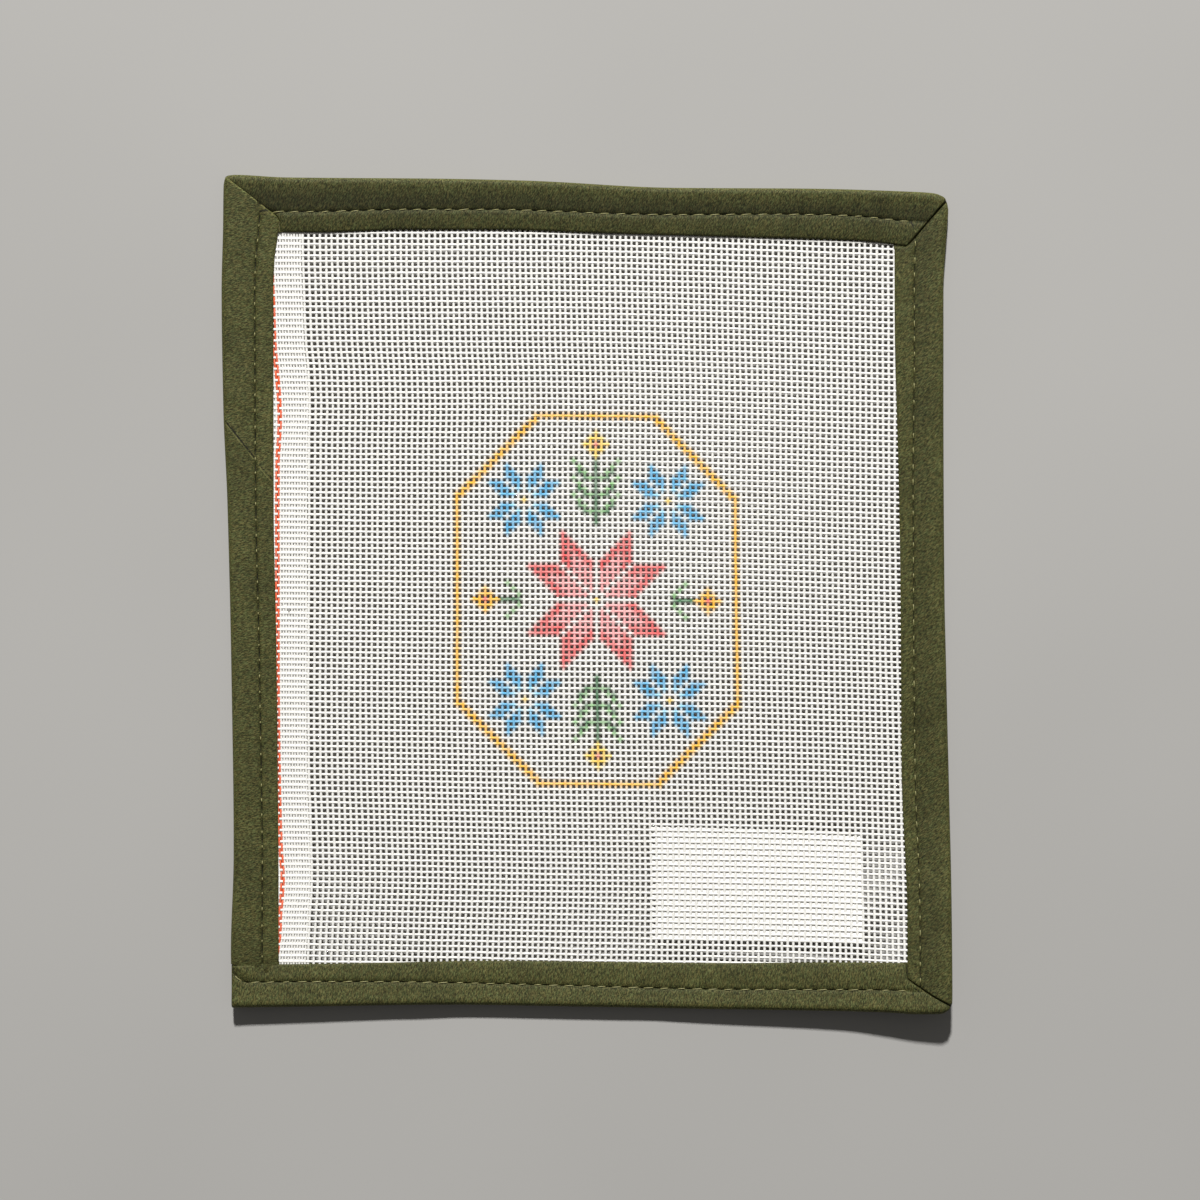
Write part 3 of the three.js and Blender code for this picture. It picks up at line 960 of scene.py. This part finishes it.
def side_colour(a, b):
    """A short stem to each side, with two leaves and a diamond."""
    if b == 0 and SPRIG_START <= a <= 17:
        return GREEN
    if a - SPRIG_START + 1 == b and 1 <= b <= 3:
        return LEAF
    return diamond_colour(b + abs(a - SIDE_DIAMOND), GOLD)


def motif_colour(dx, dy):
    a, b = abs(dx), abs(dy)
    if not in_frame(a, b):
        return None
    found = border_colour(a, b) or star_colour(a, b, BIG_RADIUS, PINK, CORAL)
    from_small = abs(a - SMALL_STAR[0]), abs(b - SMALL_STAR[1])
    found = found or star_colour(*from_small, SMALL_RADIUS, SKY, BLUE)
    return found or sprig_colour(a, b) or side_colour(a, b)


def painted_crossings():
    """The colour of every crossing, as an array by column and row, with uneven paint."""
    paint = plain_white((COLUMNS, ROWS))
    for dx in range(-FRAME_HALF_WIDTH, FRAME_HALF_WIDTH + 1):
        for dy in range(-FRAME_HALF_HEIGHT, FRAME_HALF_HEIGHT + 1):
            colour = motif_colour(dx, dy)
            if colour:
                thin = DRAWS.uniform(0.0, 0.22)
                paint[MOTIF_COLUMN + dx, MOTIF_ROW + dy] = mix(np.array(colour), np.array(WHITE), thin)
    return paint


PAINT = painted_crossings()


def ring_places(first, past_last):
    """Where a thread has rings: at each crossing and halfway, from half a place before its
    first crossing, with a second ring close to each end so that its cap bends no shading."""
    at = np.arange(first - 0.5, past_last - 0.25, 0.5)
    return np.r_[at[0], at[0] + 0.01, at[1:-1], at[-1] - 0.01, at[-1]]


def wander_at(wander, at):
    """The columns of a wander table that belong to these ring places."""
    return wander[:, np.round(2 * at + 1).astype(int)]


def paint_along(values):
    """Colours of the crossings, one row for each thread, at all of the thread's rings."""
    threads, crossings = values.shape[:2]
    full = np.empty((threads, 2 * crossings + 3, 4))
    full[:, 2:-2:2] = values
    full[:, 3:-3:2] = (values[:, 1:] + values[:, :-1]) / 2
    full[:, :2] = values[:, :1]
    full[:, -2:] = values[:, -1:]
    return full


def over_and_under(x, y, swing, thread, at):
    """Centre lines at these places in plan, up at one crossing and down at the next."""
    z = canvas_level(x, y) + swing * np.cos(np.pi * (thread + at))
    return np.stack([x, y, z], axis=-1)


def lay_warps(columns, rows):
    """Centre lines of the warps in a block of columns, from half a row below to half above."""
    at = ring_places(*rows)
    q = np.arange(*columns, dtype=float)[:, None]
    x, y = canvas_plan(q, at[None])
    x = x + wander_at(WARP_WANDER, at)[slice(*columns)]
    return over_and_under(x, y, -WEAVE_SWING, q, at), at


def lay_wefts(columns, rows):
    """Centre lines of the wefts in a block of rows, as the warps' are."""
    at = ring_places(*columns)
    r = np.arange(*rows, dtype=float)[:, None]
    x, y = canvas_plan(at[None], r)
    y = y + wander_at(WEFT_WANDER, at)[slice(*rows)]
    return over_and_under(x, y, WEAVE_SWING, r, at), at


WARP_WANDER = waver(COLUMNS, np.arange(-0.5, ROWS, 0.5), WANDER)
WEFT_WANDER = waver(ROWS, np.arange(-0.5, COLUMNS, 0.5), WANDER)


def canvas_block(name, columns, rows, material):
    """Both sets of threads in a block of the canvas: columns and rows are (first, past last)."""
    weave = Weave()
    paint = PAINT[slice(*columns), slice(*rows)]
    warps = (lay_warps, paint, (0.0, 0.5))
    wefts = (lay_wefts, paint.transpose(1, 0, 2), (0.5, 1.0))
    for lay, colours, band in (warps, wefts):
        centre, at = lay(columns, rows)
        wide = mix(THREAD_NARROW, THREAD_WIDE, np.abs(np.cos(np.pi * at)))
        wide = wide * (1 + 0.06 * waver(len(centre), at, 1.0))
        weave.add(centre, wide, THREAD_HEIGHT, paint_along(colours), band)
    return weave.finish(name, material)


ORANGE = srgb(238, 94, 42)
SPECK = srgb(150, 146, 140)
SPECK_PLACE = (-74.3, -4.6)
SPECK_RADIUS = 0.6


def add_selvedge_warps(weave):
    """Close warps, two of them orange, one with a small grey speck on it."""
    count = len(SELVEDGE_X)
    warps = -np.arange(1, count + 1, dtype=float)[:, None]
    at = ring_places(0, ROWS)
    x, y = canvas_plan(warps, at[None])
    x = x + waver(count, at, 0.03)
    orange = np.isin(-warps, ORANGE_WARPS)
    centre = over_and_under(x, y, -np.where(orange, ORANGE_SWING, SELVEDGE_SWING), warps, at)
    centre[..., 2] -= np.where(orange, 0.0, SELVEDGE_WARP_SUNK)
    wide = np.where(orange, ORANGE_WIDE, SELVEDGE_WARP_WIDE) * (1 + 0.05 * waver(count, at, 1.0))
    paint = plain_white(x.shape)
    for n in ORANGE_WARPS:
        paint[n - 1] = ORANGE
    paint[np.hypot(x - SPECK_PLACE[0], y - SPECK_PLACE[1]) < SPECK_RADIUS] = SPECK
    weave.add(centre, wide, SELVEDGE_WARP_HEIGHT, paint, (0.0, 0.4))


def add_selvedge_wefts(weave):
    """The wefts that go on through the close warps, spread into ribs, narrower at the orange."""
    at = ring_places(-len(SELVEDGE_X), 0)
    rows = np.arange(ROWS, dtype=float)[:, None]
    x, y = canvas_plan(at[None], rows)
    to_open = smoothstep(-1.6, -0.5, at)
    centre = over_and_under(x, y, mix(SELVEDGE_SWING, WEAVE_SWING, to_open), rows, at)
    near_orange = smoothstep(2.2, 1.2, np.abs(at + np.mean(ORANGE_WARPS)))
    broad = mix(mix(SELVEDGE_RIB, THREAD_NARROW, to_open), ORANGE_RIB, near_orange)
    wide = broad * (1 + 0.04 * waver(ROWS, at, 1.0))
    weave.add(centre, wide, THREAD_HEIGHT, plain_white(x.shape), (0.4, 1.0))


def canvas_selvedge(material):
    """The woven edge on the left."""
    weave = Weave()
    add_selvedge_warps(weave)
    add_selvedge_wefts(weave)
    return weave.finish("canvas_selvedge", material)


# White paint that fills the holes of one patch at the lower right

FILLED_COLUMNS = (60, 97)
FILLED_ROWS = (7, 27)
FILM_REACH = 0.36
FILM_STEPS = 5
FILM_ABOVE_MIDDLE = 0.12


def thin_paint(column, row):
    """How much of a hole's top is open: the paint ran thin along the patch's top rows and its
    left column, more so to the right."""
    rightwards = (column - FILLED_COLUMNS[0]) / (FILLED_COLUMNS[1] - FILLED_COLUMNS[0])
    from_top = FILLED_ROWS[1] - 1 - row
    thin = {0: 0.2 + 0.25 * rightwards, 1: 0.06 + 0.1 * rightwards}.get(from_top, 0.0)
    return max(thin, 0.2) if column == FILLED_COLUMNS[0] else thin


def film_in_hole(column, row):
    """One hole's film, a little hollow and hung lower at its top, where a slit stays open."""
    across = np.linspace(-FILM_REACH, FILM_REACH, FILM_STEPS)
    lean = DRAWS.uniform(-0.5, 0.5)
    deepest = DRAWS.uniform(0.06, 0.2)
    slit = deepest * np.clip(1.1 - np.abs(across / FILM_REACH - lean), 0, 1)
    slit = slit + thin_paint(column, row)
    u, v = np.meshgrid(across, np.linspace(0, 1, FILM_STEPS))
    v = mix(-FILM_REACH, FILM_REACH - slit[None], v)
    u = u + DRAWS.normal(0, 0.012, u.shape)
    x, y = canvas_plan(column + 0.5 + u, row + 0.5 + v)
    sunk = 0.1 * np.exp(-(u ** 2 + v ** 2) / 0.05) + 0.28 * smoothstep(-0.1, FILM_REACH, v)
    z = canvas_level(x, y) + FILM_ABOVE_MIDDLE - sunk + DRAWS.normal(0, 0.01)
    return np.stack([x, y, z], axis=-1).reshape(-1, 3)


def filled_patch(material):
    holes = [film_in_hole(column, row) for column in range(*FILLED_COLUMNS)
             for row in range(*FILLED_ROWS)]
    first = np.arange(len(holes))[:, None, None] * FILM_STEPS ** 2
    quads = (grid_quads(FILM_STEPS, FILM_STEPS)[None] + first).reshape(-1, 4)
    piece = make_object("canvas_filled_patch", np.concatenate(holes), [quads], material)
    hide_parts("canvas")
    return piece


# The binding and its stitches

STITCH_RISE = 0.71
STITCH_THREAD = 0.26


def tape_run(name, run):
    """One side's tape. On the right and at the bottom its section runs the other way round, so
    the faces are turned over."""
    points, tones = tape_surface(run)
    quads = grid_quads(*points.shape[:2])
    if name in ("right", "bottom"):
        quads = quads[:, ::-1]
    piece = make_object(f"tape_{name}", points.reshape(-1, 3), [quads], tape_material(name))
    # The tone layer holds painted light and shade, with the cloth's random unevenness.
    set_colours(piece, "tone", np.repeat(tones.reshape(-1, 1), 4, axis=1))
    cloth = piece.modifiers.new("cloth thickness", "SOLIDIFY")
    cloth.thickness = TAPE_THICKNESS * MM
    cloth.offset = -1.0
    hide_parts(f"binding_{name}")
    return piece


def stitch_row(name, run, material):
    """Short lengths of thread that lie in the sewn groove and dive into a needle hole at each
    end, each a little askew."""
    steps, sides = 7, 6
    each = (run.stitches, 1)
    reach = run.sewing.shows / 2 * DRAWS.uniform(0.75, 1.2, each)
    middle = 0.5 + DRAWS.uniform(-0.06, 0.06, each)
    t = middle + reach * np.linspace(-1, 1, steps)[None]
    part = (np.arange(run.stitches)[:, None] + t) / run.stitches
    share = run.sewing.line(run.between(run.MIDDLE, part))
    at = run.between(share, part)
    slant = run.sewing.slant + DRAWS.normal(0, 0.006, each)
    x, y = run.plan(run.sewing.line(at) + slant * (t - 0.5), at)
    arch = np.sin(np.pi * np.linspace(0, 1, steps))[None] ** 0.5
    z = STITCH_BED + (STITCH_RISE + DRAWS.uniform(-0.08, 0.05, each)) * arch + lift_at(x, y)
    sewn = run.sewing.here(at.mean(axis=1)) > 0.5
    centre = np.stack([x, y, z], axis=-1)[sewn]
    wide = np.full(centre.shape[:2], STITCH_THREAD)
    points = tube_points(centre, wide, STITCH_THREAD, sides)
    quads, caps = tube_faces(len(centre), steps, sides)
    piece = make_object(f"stitches_{name}", points.reshape(-1, 3), [quads, caps], material)
    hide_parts(f"binding_{name}")
    return piece


# The surroundings: floor, light and camera

FLOOR_HALF = 1500.0
FRAME_WIDTH = 300.0
FRAME_CENTRE = (3.5, -1.6)
CAMERA_HEIGHT = 720.0
CAMERA_REACH = 10000.0
SENSOR = 36.0


def add_floor():
    signs = ((-1, -1), (1, -1), (1, 1), (-1, 1))
    half = FLOOR_HALF * MM
    mesh = bpy.data.meshes.new("floor")
    mesh.from_pydata([(half * a, half * b, 0.0) for a, b in signs], [], [(0, 1, 2, 3)])
    mesh.materials.append(floor_material())
    floor = bpy.data.objects.new("floor", mesh)
    bpy.context.collection.objects.link(floor)


def add_light(name, azimuth, elevation, distance, side, power):
    """A square lamp aimed at the panel: azimuth 90 is at the panel's top side."""
    data = bpy.data.lights.new(name, "AREA")
    data.shape = "SQUARE"
    data.size = side * MM
    data.energy = power
    lamp = bpy.data.objects.new(name, data)
    bpy.context.collection.objects.link(lamp)
    turn, rise = math.radians(azimuth), math.radians(elevation)
    flat = distance * MM * math.cos(rise)
    up = distance * MM * math.sin(rise)
    lamp.location = (flat * math.cos(turn), flat * math.sin(turn), up)
    lamp.rotation_euler = (math.pi / 2 - rise, 0, turn + math.pi / 2)


def add_sky(strength):
    world = bpy.data.worlds.new("studio")
    world.use_nodes = True
    background = world.node_tree.nodes["Background"]
    background.inputs["Color"].default_value = (1.0, 0.99, 0.97, 1.0)
    background.inputs["Strength"].default_value = strength
    bpy.context.scene.world = world


def add_camera():
    data = bpy.data.cameras.new("camera")
    data.sensor_width = SENSOR
    data.lens = SENSOR * CAMERA_HEIGHT / FRAME_WIDTH
    data.clip_end = CAMERA_REACH * MM
    camera = bpy.data.objects.new("camera", data)
    bpy.context.collection.objects.link(camera)
    camera.location = (FRAME_CENTRE[0] * MM, FRAME_CENTRE[1] * MM, (CAMERA_HEIGHT + INNER_LEG) * MM)
    bpy.context.scene.camera = camera


def add_surroundings():
    bpy.context.scene.view_settings.view_transform = "Standard"
    add_floor()
    add_sky(strength=0.12)
    add_light("key", azimuth=92, elevation=40, distance=3000.0, side=200.0, power=142)
    add_camera()


def add_canvas():
    """The selvedge, the filled patch and the four blocks of open weave that they go with."""
    thread = canvas_material()
    extras = {
        "lower_left": [canvas_selvedge(thread)],
        "lower_right": [filled_patch(film_material())],
    }
    halves = {"left": (0, COLUMNS // 2), "right": (COLUMNS // 2, COLUMNS)}
    levels = {"lower": (0, ROWS // 2), "upper": (ROWS // 2, ROWS)}
    for level, rows in levels.items():
        for half, columns in halves.items():
            name = f"{level}_{half}"
            block = canvas_block(f"canvas_{name}", columns, rows, thread)


def add_binding():
    thread = sewing_thread_material()
    for name, run in RUNS.items():
        tape = tape_run(name, run)
        stitches = stitch_row(name, run, thread)
        run.length_at(0.0) * MM


add_surroundings()
add_canvas()
add_binding()
